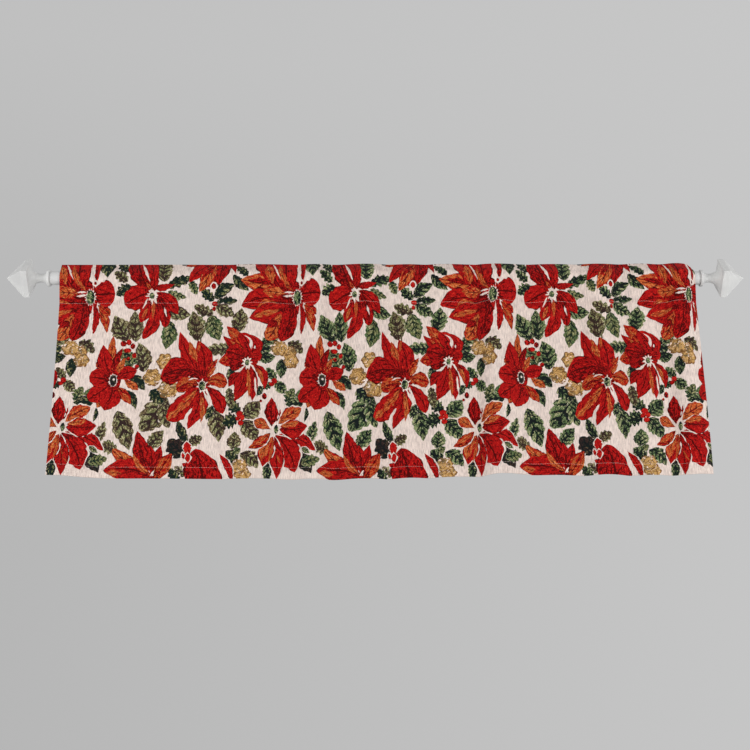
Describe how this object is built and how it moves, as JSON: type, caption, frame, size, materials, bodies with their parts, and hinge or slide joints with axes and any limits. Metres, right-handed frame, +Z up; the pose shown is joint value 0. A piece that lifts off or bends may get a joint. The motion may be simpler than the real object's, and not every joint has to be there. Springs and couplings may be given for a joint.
{
  "type": "window valance on a curtain rod",
  "caption": "Straight tapestry-weave window valance with a rod pocket, hung in soft uneven folds on a round curtain rod with pyramid finials.",
  "frame": {"origin": "on the rod's axis, halfway between the two finials", "axes": "+X along the rod towards the finial on the viewer's right, -Y from the cloth's face into the room, +Z up"},
  "size_m": [1.5092, 0.0826, 0.4598],
  "materials": {
    "valance_cloth": "heavy figured tapestry weave, matt, cream ground with red, orange, green and gold flowers and leaves",
    "rod_enamel": "smooth white satin paint",
    "finial_enamel": "smooth white satin paint"
  },
  "bodies": {
    "root": {"valance_panel": "valance_cloth", "curtain_rod": "rod_enamel", "left_finial": "finial_enamel", "right_finial": "finial_enamel"}
  },
  "joints": []
}
